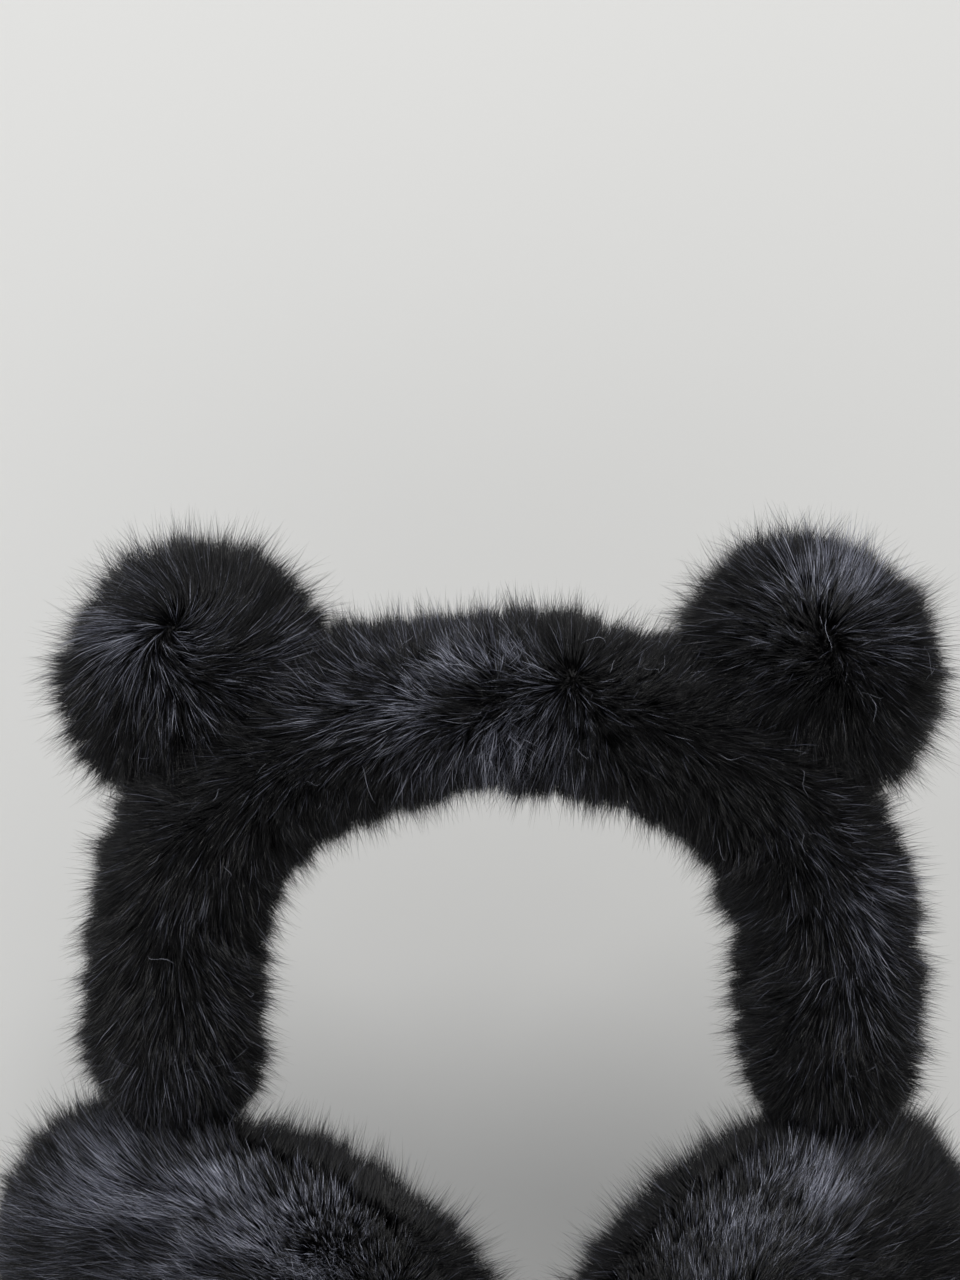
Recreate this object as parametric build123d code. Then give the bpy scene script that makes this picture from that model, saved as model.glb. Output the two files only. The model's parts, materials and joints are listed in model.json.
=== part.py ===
"""Bear-ear plush earmuff headband: a padded faux-fur arch with two stuffed ears and two large ear pads.

Frame: +Z up, +X to the right seen from the front, front at -Y. The origin is the middle of
the head opening, level with the points where the arch runs into its two straight arms.
The arch is walked by its "turn" angle: 0 at the crown, +90 where the right arm starts, -90 on the left.
Every fur cover is a hide with its dense underfur; only the loose hair tips stand proud of it.
"""

from build123d import *
from math import cos, radians, sin
import os

# Arch centreline
CROWN_RADIUS = 115.0
CROWN_TURN = 24.0
ARM_X = 81.5
CORNER_RADIUS = (ARM_X - CROWN_RADIUS * sin(radians(CROWN_TURN))) / (1 - sin(radians(CROWN_TURN)))
CORNER_X = ARM_X - CORNER_RADIUS
CROWN_CENTRE_Z = (CORNER_RADIUS - CROWN_RADIUS) * cos(radians(CROWN_TURN))

# Soft tube section, as half sizes along Y and across the band
COVER = (22.0, 17.0)
COVER_INNER = (16.2, 11.2)
PADDING = (16.0, 11.0)

# Crown strip and shoulder hinge
STRIP_WIDTH = 20.0
STRIP_THICK = 2.4
SLOT_GAP = 0.3
HINGE_TURN = 75.0
KNUCKLE_RADIUS = 4.0
KNUCKLE_GAP = 0.2
KNUCKLE_ENDS = (3.2, 6.4, 10.0)
HINGE_ROOM = 5.2
PIN_RADIUS = 1.6
PRESS_GAP = 0.02
RUNNING_GAP = 0.05
PIN_HEAD = 0.8
COVER_END_TURN = 72.5
PADDING_END_TURN = 67.5
SPRING_WIRE = 0.4
SPRING_RADIUS = 2.6
SPRING_PITCH = 1.15
SPRING_LENGTH = 4.6
SPRING_LEG = 2.2

# Arm channel and slider
CHANNEL = (24.0, 6.4)
CHANNEL_TOP = 3.0
CHANNEL_BOTTOM = -31.0
BAR = (18.0, 2.4)
BAR_GAP = 0.15
BAR_TOP = -4.0
SLIDE_TRAVEL = 18.0
STOP_Z = -27.0
STOP_RADIUS = 1.0
STOP_HEAD = (2.1, 1.1)
ARM_SLOT = (25.0, 10.0)
ARM_COVER_BOTTOM = -33.0
SLEEVE_TOP = -33.8
SLEEVE_BOTTOM = -41.5
SLEEVE_END = (14.0, 13.0)
SLEEVE_END_INNER = (11.2, 9.7)
SLEEVE_PADDING = (11.0, 9.5)
SLEEVE_PADDING_BOTTOM = -40.5
NOTCH_RADIUS = 0.9
NOTCH_PITCH = 3.0

# Swivel under the slider
FOOT = (14.0, 9.0)
FOOT_TOP = -35.5
FOOT_BOTTOM = -44.0
WINDOW = (9.4, 3.6)
SWIVEL_RADIUS = 2.0
SWIVEL_HEAD = (3.5, 1.2)
WASHER = (5.0, 0.36)
BRIDGE = (12.0, 8.0)
BRIDGE_TOP = -44.4
BRIDGE_BOTTOM = -46.6

# Tilt hinge
TILT_Z = -50.5
TILT_RADIUS = 1.5
LUG_RADIUS = 3.0
LUG_HALF = 2.6
EAR_PLATE = (2.9, 5.7)
EAR_PLATE_RADIUS = 3.5
TILT_PIN_HALF = 6.2

# Ear pad, with its centre PAD_DROP below the tilt pin, measured in the pad's own plane
PAD_RADIUS = 66.0
PAD_DROP = 58.0
PAD_OUTER_DEPTH = 25.0
PAD_INNER_DEPTH = 19.0
PAD_CROWN = 22.0
PAD_SKIN = 6.0
PAD_FLAT = 15.5
PAD_HALF_GAP = 0.2
PLATE_RADIUS = 46.0
PLATE_THICK = 2.4
FILL_GAP = 0.2
NOTCH_HALF = 9.0
NOTCH_DEPTH = 17.0
CORD_RADIUS = 1.1
CORD_RING = 54.5
STITCH_HOLES = 8
STITCH_HOLE_RADIUS = 1.6
# How each pad hangs at rest: facing is its outer face's turn away from straight ahead, droop its downward tilt
PAD_REST = {"right": (40.0, 28.0), "left": (26.0, 38.0)}

# Bear ear, standing on the arch at EAR_TURN
EAR_TURN = 37.0
EAR_HALF = (28.0, 19.5, 26.0)
EAR_CENTRE = 31.0
EAR_SKIN = 5.8
EAR_BASE = 19.0
EAR_SPLIT = 0.1
EAR_DISC = (16.5, 9.8, 1.2)
EAR_TAB = (12.0, 1.2)
EAR_HEM_RADIUS = 0.8
EAR_HEM_HEIGHT = 17.9

OUTPUT = "parts"


def arch_point(turn, out=0.0):
    """Point on the arch at a turn angle, moved outwards by out."""
    a = radians(turn)
    if abs(turn) <= CROWN_TURN:
        x, z = CROWN_RADIUS * sin(a), CROWN_CENTRE_Z + CROWN_RADIUS * cos(a)
    else:
        side = 1 if turn > 0 else -1
        x, z = side * CORNER_X + CORNER_RADIUS * sin(a), CORNER_RADIUS * cos(a)
    return Vector(x + out * sin(a), 0, z + out * cos(a))


def arch_plane(turn):
    """Section plane at a turn angle: local x runs along +Y and local y points outwards."""
    a = radians(turn)
    return Plane(origin=arch_point(turn), x_dir=(0, 1, 0), z_dir=(cos(a), 0, -sin(a)))


def arch_path(start, end):
    """The centreline from one turn angle to another, as tangent arcs."""
    stops = [start] + [t for t in (-CROWN_TURN, CROWN_TURN) if start < t < end] + [end]
    arcs = [
        ThreePointArc(arch_point(a), arch_point((a + b) / 2), arch_point(b))
        for a, b in zip(stops, stops[1:])
    ]
    return Wire([edge for arc in arcs for edge in arc.edges()])


def oval(half):
    """Oval section with half sizes along Y and across the band."""
    return Ellipse(half[0], half[1])


def arch_sweep(section, start, end):
    """A section swept along the arch between two turn angles."""
    return sweep(arch_plane(start) * section, path=arch_path(start, end))


def down(section, top, bottom):
    """A section run straight down the right arm from one height to another."""
    plane = Plane(origin=(ARM_X, 0, top), x_dir=(0, 1, 0), z_dir=(0, 0, -1))
    return extrude(plane * section, amount=top - bottom)


def along_y(radius, low, high, at):
    """A round bar along Y between two values of y, centred on a point of the XZ plane."""
    plane = Plane(origin=(at.X, high, at.Z), x_dir=(1, 0, 0), z_dir=(0, -1, 0))
    return extrude(plane * Circle(radius), amount=high - low)


def both_y(radius, low, high, at):
    """Two round bars along Y, one on each side of the XZ plane."""
    return along_y(radius, low, high, at) + along_y(radius, -high, -low, at)


def upright(radius, low, high):
    """A round bar along Z on the swivel axis."""
    return Pos(ARM_X, 0, low) * extrude(Circle(radius), amount=high - low)


HINGE_AT = arch_point(HINGE_TURN)
HINGE_AT_LEFT = arch_point(-HINGE_TURN)


# --- crown ---------------------------------------------------------------------------------------
def crown_band():
    """Flat plastic strip along the arch, with two hinge knuckles at each end."""
    strip = arch_sweep(Rectangle(STRIP_WIDTH, STRIP_THICK), -HINGE_TURN, HINGE_TURN)
    inner, outer = KNUCKLE_ENDS[1] + KNUCKLE_GAP, KNUCKLE_ENDS[2]
    for at in (HINGE_AT, HINGE_AT_LEFT):
        strip -= along_y(HINGE_ROOM, -inner, inner, at)
        strip += both_y(KNUCKLE_RADIUS, inner, outer, at)
        strip -= along_y(PIN_RADIUS + PRESS_GAP, -outer, outer, at)
    return strip


def crown_padding():
    """Wadding sleeve around the strip."""
    slot = Rectangle(STRIP_WIDTH + 2 * SLOT_GAP, STRIP_THICK + 2 * SLOT_GAP)
    tube = arch_sweep(oval(PADDING), -PADDING_END_TURN, PADDING_END_TURN)
    return tube - arch_sweep(slot, -PADDING_END_TURN, PADDING_END_TURN)


def crown_cover():
    """Fur tube over the crown wadding."""
    tube = arch_sweep(oval(COVER), -COVER_END_TURN, COVER_END_TURN)
    return tube - arch_sweep(oval(COVER_INNER), -COVER_END_TURN, COVER_END_TURN)


def shoulder_pin():
    """Headed pin through the shoulder knuckles."""
    end = KNUCKLE_ENDS[2]
    pin = along_y(PIN_RADIUS, -end, end, HINGE_AT)
    return pin + along_y(PIN_RADIUS + 1.0, end, end + PIN_HEAD, HINGE_AT)


def shoulder_spring():
    """Torsion spring wound on the shoulder pin, with a short leg at each end."""
    coil = Helix(SPRING_PITCH, SPRING_LENGTH, SPRING_RADIUS)
    start = Plane(origin=coil @ 0, z_dir=coil % 0)
    spring = sweep(start * Circle(SPRING_WIRE), path=coil)
    for place in (0, 1):
        tip = coil @ place
        leg = Plane(origin=tip, z_dir=Vector(tip.X, tip.Y, 0))
        spring += extrude(leg * Circle(SPRING_WIRE * 0.9), amount=SPRING_LEG)
    axis = Plane(origin=(HINGE_AT.X, SPRING_LENGTH / 2, HINGE_AT.Z), x_dir=(1, 0, 0), z_dir=(0, -1, 0))
    return axis * spring


# --- arm -----------------------------------------------------------------------------------------
def arm_channel():
    """Hinge leaf and the flat channel that the slider runs in."""
    low, high = KNUCKLE_ENDS[0], KNUCKLE_ENDS[1]
    leaf = arch_sweep(Rectangle(2 * high, STRIP_THICK + 0.6), HINGE_TURN, 90)
    leaf -= along_y(HINGE_ROOM, -low, low, HINGE_AT)
    leaf += both_y(KNUCKLE_RADIUS, low, high, HINGE_AT)
    leaf -= along_y(PIN_RADIUS + RUNNING_GAP, -high, high, HINGE_AT)
    channel = down(Rectangle(*CHANNEL), CHANNEL_TOP, CHANNEL_BOTTOM)
    cavity = Rectangle(BAR[0] + 2 * BAR_GAP, BAR[1] + 2 * BAR_GAP)
    channel = leaf + channel - down(cavity, CHANNEL_TOP - 2, CHANNEL_BOTTOM)
    hole = Plane(origin=(ARM_X, 0, STOP_Z), z_dir=(1, 0, 0)) * Circle(STOP_RADIUS + PRESS_GAP)
    return channel - extrude(hole, amount=CHANNEL[1])


def stop_screw():
    """Screw through the channel wall whose tip stops the slider at both ends of its slot."""
    plane = Plane(origin=(ARM_X - BAR[1] / 2, 0, STOP_Z), z_dir=(1, 0, 0))
    reach = (BAR[1] + CHANNEL[1]) / 2
    head = Plane(origin=(ARM_X + CHANNEL[1] / 2, 0, STOP_Z), z_dir=(1, 0, 0))
    screw = extrude(plane * Circle(STOP_RADIUS), amount=reach)
    return screw + extrude(head * Circle(STOP_HEAD[0]), amount=STOP_HEAD[1])


def arm_tube(half, start_turn, bottom):
    """An oval tube filling that follows the last of the arch and then the straight arm."""
    return arch_sweep(oval(half), start_turn, 90) + down(oval(half), 0, bottom)


def arm_padding():
    """Wadding around the channel, open along the middle."""
    start = 2 * HINGE_TURN - PADDING_END_TURN
    bottom = CHANNEL_BOTTOM
    slot = Rectangle(*ARM_SLOT)
    return arm_tube(PADDING, start, bottom) - arch_sweep(slot, start, 90) - down(slot, 0, bottom)


def arm_cover():
    """Fur tube over the arm, from just below the shoulder hinge."""
    start = 2 * HINGE_TURN - COVER_END_TURN
    return arm_tube(COVER, start, ARM_COVER_BOTTOM) - arm_tube(COVER_INNER, start, ARM_COVER_BOTTOM)


# --- slider --------------------------------------------------------------------------------------
def slider_bar():
    """Flat bar with a stop slot, click notches and a foot that takes the swivel pin."""
    bar = down(Rectangle(*BAR), BAR_TOP, FOOT_TOP)
    slot_length = SLIDE_TRAVEL + 2 * STOP_RADIUS + 0.4
    slot_at = Plane(origin=(ARM_X, 0, STOP_Z + SLIDE_TRAVEL / 2), x_dir=(0, 0, 1), z_dir=(1, 0, 0))
    slot = SlotOverall(slot_length, 2 * STOP_RADIUS + 0.3)
    bar -= extrude(slot_at * slot, amount=BAR[1], both=True)
    for n in range(int(SLIDE_TRAVEL / NOTCH_PITCH) + 1):
        for y in (-BAR[0] / 2, BAR[0] / 2):
            dent = Plane(origin=(ARM_X, y, BAR_TOP - 3 - n * NOTCH_PITCH), z_dir=(1, 0, 0))
            bar -= extrude(dent * Circle(NOTCH_RADIUS), amount=BAR[1], both=True)
    bar -= Pos(ARM_X, 0, FOOT_TOP + WINDOW[1] / 2) * Box(2 * BAR[1], WINDOW[0], WINDOW[1])
    foot = down(RectangleRounded(FOOT[0], FOOT[1], 1.5), FOOT_TOP, FOOT_BOTTOM)
    return bar + foot - upright(SWIVEL_RADIUS + RUNNING_GAP, FOOT_BOTTOM, FOOT_TOP)


def slider_padding():
    """Wadding ring around the slider's foot."""
    hole = Rectangle(FOOT[0] + 1, FOOT[1] + 1)
    top, bottom = FOOT_TOP - 0.5, SLEEVE_PADDING_BOTTOM
    return down(oval(SLEEVE_PADDING), top, bottom) - down(hole, top, bottom)


def drawn_in(top_half, bottom_half):
    """An oval filling of the sleeve that narrows towards its lower end."""
    ends = [
        Plane(origin=(ARM_X, 0, z), x_dir=(0, 1, 0), z_dir=(0, 0, -1)) * oval(half)
        for z, half in ((SLEEVE_TOP, top_half), (SLEEVE_BOTTOM, bottom_half))
    ]
    return loft(ends)


def slider_cover():
    """Short fur tube that travels with the slider, drawn in where it meets the pad."""
    return drawn_in(COVER, SLEEVE_END) - drawn_in(COVER_INNER, SLEEVE_END_INNER)


# --- swivel yoke ---------------------------------------------------------------------------------
def swivel_pin():
    """Headed rivet that the yoke turns on."""
    pin = upright(SWIVEL_RADIUS, BRIDGE_BOTTOM, FOOT_TOP + 0.2)
    low = FOOT_TOP + 0.2
    return pin + upright(SWIVEL_HEAD[0], low, low + SWIVEL_HEAD[1])


def swivel_washer():
    """Friction washer between the foot and the yoke."""
    low = (FOOT_BOTTOM + BRIDGE_TOP - WASHER[1]) / 2
    return upright(WASHER[0], low, low + WASHER[1]) - upright(SWIVEL_RADIUS + 0.1, low, low + WASHER[1])


def facing_place(side):
    """Place of the tilt pin, turned to the pad's rest facing: local x is the pin's axis."""
    return Pos(ARM_X, 0, TILT_Z) * Rot(0, 0, PAD_REST[side][0])


def along_x(radius, low, high):
    """A round bar along local x."""
    return Pos(low, 0, 0) * extrude(Plane.YZ * Circle(radius), amount=high - low)


def swivel_yoke(side):
    """Clevis that hangs from the swivel rivet and holds the tilt pin."""
    low, high = EAR_PLATE
    rise = BRIDGE_BOTTOM - TILT_Z
    middle = (low + high) / 2
    yoke = Pos(0, 0, (BRIDGE_TOP + BRIDGE_BOTTOM) / 2 - TILT_Z) * Box(*BRIDGE, BRIDGE_TOP - BRIDGE_BOTTOM)
    for x in (-middle, middle):
        yoke += Pos(x, 0, rise / 2) * Box(high - low, 2 * EAR_PLATE_RADIUS, rise)
    yoke += along_x(EAR_PLATE_RADIUS, low, high) + along_x(EAR_PLATE_RADIUS, -high, -low)
    yoke -= along_x(TILT_RADIUS + PRESS_GAP, -high, high)
    bore = upright(SWIVEL_RADIUS + PRESS_GAP, BRIDGE_BOTTOM, BRIDGE_TOP)
    return facing_place(side) * yoke - bore


def tilt_pin(side):
    """Cross pin of the clevis."""
    return facing_place(side) * along_x(TILT_RADIUS, -TILT_PIN_HALF, TILT_PIN_HALF)


# --- ear pad, drawn with its centre at the origin, +Y up the pad and +Z out of its outer face ----
def pad_place(side):
    """Place of a pad at rest, hanging from the tilt pin."""
    facing, droop = PAD_REST[side]
    return Pos(ARM_X, 0, TILT_Z) * Rot(0, 0, facing) * Rot(90 + droop, 0, 0) * Pos(0, -PAD_DROP, 0)


def quarter(radius, depth, low, high, crown=0.0):
    """Section of a pad half beside local z: level out to crown, then a quarter oval, kept between two heights."""
    arc = EllipticalCenterArc((crown, 0), radius - crown, depth, start_angle=0, arc_size=90)
    edges = [arc, Line((0, depth), (0, 0)), Line((0, 0), (radius, 0))]
    if crown:
        edges.append(Line((crown, depth), (0, depth)))
    return make_face(edges) & Pos(radius, (low + high) / 2) * Rectangle(2 * radius, high - low)


def spun(profile):
    """A section turned round local z."""
    return revolve(Plane.XZ * profile, Axis.Z)


def pad_mouth():
    """The opening at the top of the pad where the yoke enters."""
    height = 2 * NOTCH_DEPTH
    return Pos(0, PAD_RADIUS - NOTCH_DEPTH + height / 2, 0) * Box(2 * NOTCH_HALF, height, 4 * PAD_OUTER_DEPTH)


def pad_outer_cover():
    """Fur dome on the outside of the pad."""
    low, high = PAD_HALF_GAP, PAD_OUTER_DEPTH + 1
    outside = quarter(PAD_RADIUS, PAD_OUTER_DEPTH, low, high, PAD_CROWN)
    inside = quarter(PAD_RADIUS - PAD_SKIN, PAD_OUTER_DEPTH - PAD_SKIN, low, high, PAD_CROWN)
    return spun(outside - inside) - pad_mouth()


def pad_outer_stuffing():
    """Fibre filling under the outer dome."""
    inset = PAD_SKIN + FILL_GAP
    low, high = PLATE_THICK / 2 + FILL_GAP, PAD_OUTER_DEPTH
    return spun(quarter(PAD_RADIUS - inset, PAD_OUTER_DEPTH - inset, low, high, PAD_CROWN)) - pad_mouth()


def pad_inner_cover():
    """Fur cover on the ear side, with the flat face that rests on the ear."""
    outside = quarter(PAD_RADIUS, PAD_INNER_DEPTH, PAD_HALF_GAP, PAD_FLAT)
    inside = quarter(PAD_RADIUS - PAD_SKIN, PAD_INNER_DEPTH - PAD_SKIN, PAD_HALF_GAP, PAD_FLAT - PAD_SKIN)
    return mirror(spun(outside - inside), Plane.XY) - pad_mouth()


def pad_inner_cushion():
    """Foam disc behind the ear-side cover."""
    inset = PAD_SKIN + FILL_GAP
    foam = quarter(PAD_RADIUS - inset, PAD_INNER_DEPTH - inset, PLATE_THICK / 2 + FILL_GAP, PAD_FLAT - inset)
    return mirror(spun(foam), Plane.XY) - pad_mouth()


def pad_plate():
    """Stiff disc in the middle of the pad, with the tilt lug and holes for the cover stitches."""
    disc = extrude(Circle(PLATE_RADIUS), amount=PLATE_THICK / 2, both=True)
    for n in range(STITCH_HOLES):
        angle = radians(360 / STITCH_HOLES * (n + 0.5))
        at = (PLATE_RADIUS - 4) * Vector(cos(angle), sin(angle))
        disc -= Pos(at.X, at.Y, 0) * Cylinder(STITCH_HOLE_RADIUS, 2 * PLATE_THICK)
    lug_foot = PLATE_RADIUS - 5
    lug = Pos(0, (lug_foot + PAD_DROP) / 2, 0) * Box(2 * LUG_HALF, PAD_DROP - lug_foot, PLATE_THICK)
    eye = Pos(0, PAD_DROP, 0) * along_x(LUG_RADIUS, -LUG_HALF, LUG_HALF)
    bore = Pos(0, PAD_DROP, 0) * along_x(TILT_RADIUS + RUNNING_GAP, -LUG_HALF, LUG_HALF)
    return disc + lug + eye - bore


def pad_drawcord():
    """Cord that gathers the two covers around the rim, open at the mouth."""
    return Torus(CORD_RING, CORD_RADIUS) - pad_mouth()


# --- ear, drawn with its base on the arch's centreline, +X along the arch, +Z outwards -----------
def ear_place():
    """Place of the right ear on the arch."""
    a = radians(EAR_TURN)
    return Plane(origin=arch_point(EAR_TURN), x_dir=(cos(a), 0, -sin(a)), z_dir=(sin(a), 0, cos(a)))


def above(z):
    """Everything above a height, for trimming the ear's pieces."""
    size = 8 * EAR_CENTRE
    return Pos(0, 0, z + size / 2) * Box(size, size, size)


def egg(inset, base):
    """Stretched ball for the ear, drawn in by inset and cut flat at its base."""
    along, deep, high = (half - inset for half in EAR_HALF)
    arc = EllipticalCenterArc((0, EAR_CENTRE), along, high, start_angle=-90, arc_size=180)
    profile = make_face([arc, Line((0, EAR_CENTRE + high), (0, EAR_CENTRE - high))])
    ball = revolve(Plane.XZ * profile, Axis.Z)
    ball = scale(ball, by=(1, deep / along, 1))
    return ball & above(base)


def ear_cover(front):
    """One of the two fur panels of an ear."""
    size = 4 * EAR_HALF[0]
    side = -1 if front else 1
    half_space = Pos(0, side * (size / 2 + EAR_SPLIT), 0) * Box(size, size, 2 * size)
    return (egg(0, EAR_BASE) - egg(EAR_SKIN, EAR_BASE - 1)) & half_space


def ear_disc_bottom():
    """Height of the underside of the ear's base disc."""
    return EAR_BASE + 0.1


def ear_stuffing():
    """Fibre filling of an ear."""
    return egg(EAR_SKIN + FILL_GAP, ear_disc_bottom() + EAR_DISC[2] + FILL_GAP)


def ear_base_disc():
    """Felt disc that closes the ear's base."""
    return Pos(0, 0, ear_disc_bottom()) * extrude(Ellipse(EAR_DISC[0], EAR_DISC[1]), amount=EAR_DISC[2])


def ear_tab():
    """Tape tab under the base disc, with the rolled hem that the ear bends on."""
    length, thick = EAR_TAB
    height = ear_disc_bottom() - EAR_HEM_HEIGHT
    tape = Pos(0, 0, EAR_HEM_HEIGHT + height / 2) * Box(length, thick, height)
    return tape + Pos(0, 0, EAR_HEM_HEIGHT) * along_x(EAR_HEM_RADIUS, -length / 2, length / 2)


def write(name, shape):
    """Writes one node as STEP, as its separate solids."""
    solids = shape.solids()
    export_step(solids[0] if len(solids) == 1 else Compound(children=list(solids)), f"{OUTPUT}/{name}.step")


def side_parts(side):
    """Every node of one side, drawn on the right."""
    pad, ear = pad_place(side), ear_place()
    return {
        "shoulder_pin": shoulder_pin(),
        "shoulder_spring": shoulder_spring(),
        "arm_channel": arm_channel(),
        "stop_screw": stop_screw(),
        "arm_padding": arm_padding(),
        "arm_cover": arm_cover(),
        "slider_bar": slider_bar(),
        "slider_padding": slider_padding(),
        "slider_cover": slider_cover(),
        "swivel_pin": swivel_pin(),
        "swivel_washer": swivel_washer(),
        "swivel_yoke": swivel_yoke(side),
        "tilt_pin": tilt_pin(side),
        "pad_plate": pad * pad_plate(),
        "pad_outer_cover": pad * pad_outer_cover(),
        "pad_outer_stuffing": pad * pad_outer_stuffing(),
        "pad_inner_cover": pad * pad_inner_cover(),
        "pad_inner_cushion": pad * pad_inner_cushion(),
        "pad_drawcord": pad * pad_drawcord(),
        "ear_front_cover": ear * ear_cover(True),
        "ear_back_cover": ear * ear_cover(False),
        "ear_stuffing": ear * ear_stuffing(),
        "ear_base_disc": ear * ear_base_disc(),
        "ear_tab": ear * ear_tab(),
    }


os.makedirs(OUTPUT, exist_ok=True)
write("crown_band", crown_band())
write("crown_padding", crown_padding())
write("crown_cover", crown_cover())
for side in ("right", "left"):
    for name, shape in side_parts(side).items():
        write(f"{name}_{side}", shape if side == "right" else mirror(shape, Plane.YZ))
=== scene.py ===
import json
import math
from dataclasses import dataclass
from typing import Callable

import bpy
import numpy as np
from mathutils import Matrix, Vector


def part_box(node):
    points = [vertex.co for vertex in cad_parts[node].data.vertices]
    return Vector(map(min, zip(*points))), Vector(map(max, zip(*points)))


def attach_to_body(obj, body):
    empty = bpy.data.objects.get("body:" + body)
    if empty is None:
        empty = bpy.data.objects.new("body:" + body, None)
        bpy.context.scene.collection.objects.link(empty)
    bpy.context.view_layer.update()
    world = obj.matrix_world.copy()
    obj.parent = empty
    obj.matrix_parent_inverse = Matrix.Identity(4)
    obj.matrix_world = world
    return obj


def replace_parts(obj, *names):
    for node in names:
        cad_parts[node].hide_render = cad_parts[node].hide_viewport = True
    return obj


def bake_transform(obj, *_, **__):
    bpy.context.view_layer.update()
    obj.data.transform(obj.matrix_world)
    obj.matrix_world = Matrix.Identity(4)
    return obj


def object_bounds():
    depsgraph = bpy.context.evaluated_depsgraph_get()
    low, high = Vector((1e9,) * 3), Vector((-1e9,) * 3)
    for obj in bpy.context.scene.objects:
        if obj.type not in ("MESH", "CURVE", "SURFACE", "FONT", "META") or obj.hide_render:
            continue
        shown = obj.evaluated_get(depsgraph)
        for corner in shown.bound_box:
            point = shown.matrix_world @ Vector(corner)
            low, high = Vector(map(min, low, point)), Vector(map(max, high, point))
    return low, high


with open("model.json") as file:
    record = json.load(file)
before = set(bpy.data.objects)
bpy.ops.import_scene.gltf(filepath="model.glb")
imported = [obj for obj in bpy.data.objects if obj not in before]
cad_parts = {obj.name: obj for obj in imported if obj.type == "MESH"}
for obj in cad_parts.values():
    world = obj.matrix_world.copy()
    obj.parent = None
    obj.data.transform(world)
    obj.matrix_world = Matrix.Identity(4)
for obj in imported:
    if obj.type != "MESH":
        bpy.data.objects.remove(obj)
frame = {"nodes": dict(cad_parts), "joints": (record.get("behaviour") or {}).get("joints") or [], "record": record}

MM = 0.001
SIDES = {"right": 1, "left": -1}
FRONT = np.array([0.0, -1.0, 0.0])
rng = np.random.default_rng(7)

# Hair tips stay within this much room round the CAD: 3 percent of each side and just under 10 mm
CAD_BOX = [list(corner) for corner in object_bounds()]
CAD_LOW, CAD_HIGH = np.array(CAD_BOX)
TIP_ROOM = 0.03 * (CAD_HIGH - CAD_LOW) + 9.6 * MM

DENSITY_SHARE = 1.0
WIDTH_SHARE = 1.0
MAX_TRIANGLES_IN_PIECE = 196000

# Driving sizes of the design that the boxes in the frame don't give
SHOULDER_TURN = math.radians(75)
EAR_TURN = math.radians(37)
STRIP_THICK = 2.4 * MM
SLEEVE_END = np.array([13.2, 12.0]) * MM
PAD_FLAT_DEPTH = 15.5 * MM
EAR_HEIGHT_IN_HALVES = 1.46

# The fur's hide lies this far inside the CAD covers, which take in the dense underfur
HIDE_DEPTH = 2.0 * MM
BAND_FUR = 9.0 * MM
EAR_FUR = 11.0 * MM
PAD_FUR = 14.0 * MM
EDGE_GAP = 0.1 * MM
BAND_LUMP = 0.9 * MM
EAR_LUMP = 0.7 * MM
PAD_LUMP = 1.4 * MM


# --- places read from the frame ------------------------------------------------------------------
JOINTS = {joint["name"]: joint for joint in frame["joints"]}
MOUNTS = {mount["name"]: mount for mount in frame["record"]["mounts"]}


def array(values):
    return np.array(values, float)


def unit(v):
    return v / np.maximum(np.linalg.norm(v, axis=-1, keepdims=True), 1e-12)


def node_points(node):
    mesh = frame["nodes"][node].data
    flat = np.zeros(len(mesh.vertices) * 3)
    mesh.vertices.foreach_get("co", flat)
    return flat.reshape(-1, 3)


def reach(node, origin, direction):
    """How far a CAD node extends from a point along a direction."""
    return float(((node_points(node) - origin) @ direction).max())


def middle(node):
    low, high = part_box(node)
    return (low + high) / 2


# The band is an arch: a wide crown arc, a tighter corner arc on each side, then straight arms
ARM_X = middle("slider_bar_right").x
SLEEVE_LOW, SLEEVE_HIGH = (array(corner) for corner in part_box("slider_cover_right"))
COVER_HALF = (SLEEVE_HIGH - SLEEVE_LOW)[[1, 0]] / 2
SLEEVE_BOTTOM = SLEEVE_LOW[2]
SLEEVE_JOIN = SLEEVE_HIGH[2] + 8 * MM
CORNER_RADIUS = JOINTS["right_shoulder_spread"]["pos_m"][2] / math.cos(SHOULDER_TURN)
CORNER_X = ARM_X - CORNER_RADIUS
CROWN_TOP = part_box("crown_band")[1].z - STRIP_THICK / 2
CROWN_TURN = 2 * math.atan((CROWN_TOP - CORNER_RADIUS) / CORNER_X)
CROWN_RADIUS = CORNER_RADIUS + CORNER_X / math.sin(CROWN_TURN)
CROWN_CENTRE_Z = (CORNER_RADIUS - CROWN_RADIUS) * math.cos(CROWN_TURN)
CROWN_ARC = CROWN_RADIUS * CROWN_TURN
CORNER_ARC = CORNER_RADIUS * (math.pi / 2 - CROWN_TURN)
ARM_TOP_S = CROWN_ARC + CORNER_ARC
SHOULDER_S = CROWN_ARC + (SHOULDER_TURN - CROWN_TURN) * CORNER_RADIUS
EAR_S = CROWN_ARC + (EAR_TURN - CROWN_TURN) * CORNER_RADIUS


def arch(s):
    """Centreline point, outward direction and downhill tangent on the right half, s along from the crown."""
    s = np.asarray(s, float)
    turn = np.where(s < CROWN_ARC, s / CROWN_RADIUS, CROWN_TURN + (s - CROWN_ARC) / CORNER_RADIUS)
    turn = np.minimum(turn, math.pi / 2)
    on_crown = s < CROWN_ARC
    radius = np.where(on_crown, CROWN_RADIUS, CORNER_RADIUS)
    x = np.where(on_crown, 0, CORNER_X) + radius * np.sin(turn)
    z = np.where(on_crown, CROWN_CENTRE_Z, 0) + radius * np.cos(turn) - np.maximum(s - ARM_TOP_S, 0)
    zero = np.zeros_like(s)
    return (
        np.stack([x, zero, z], -1),
        np.stack([np.sin(turn), zero, np.cos(turn)], -1),
        np.stack([np.cos(turn), zero, -np.sin(turn)], -1),
    )


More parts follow.
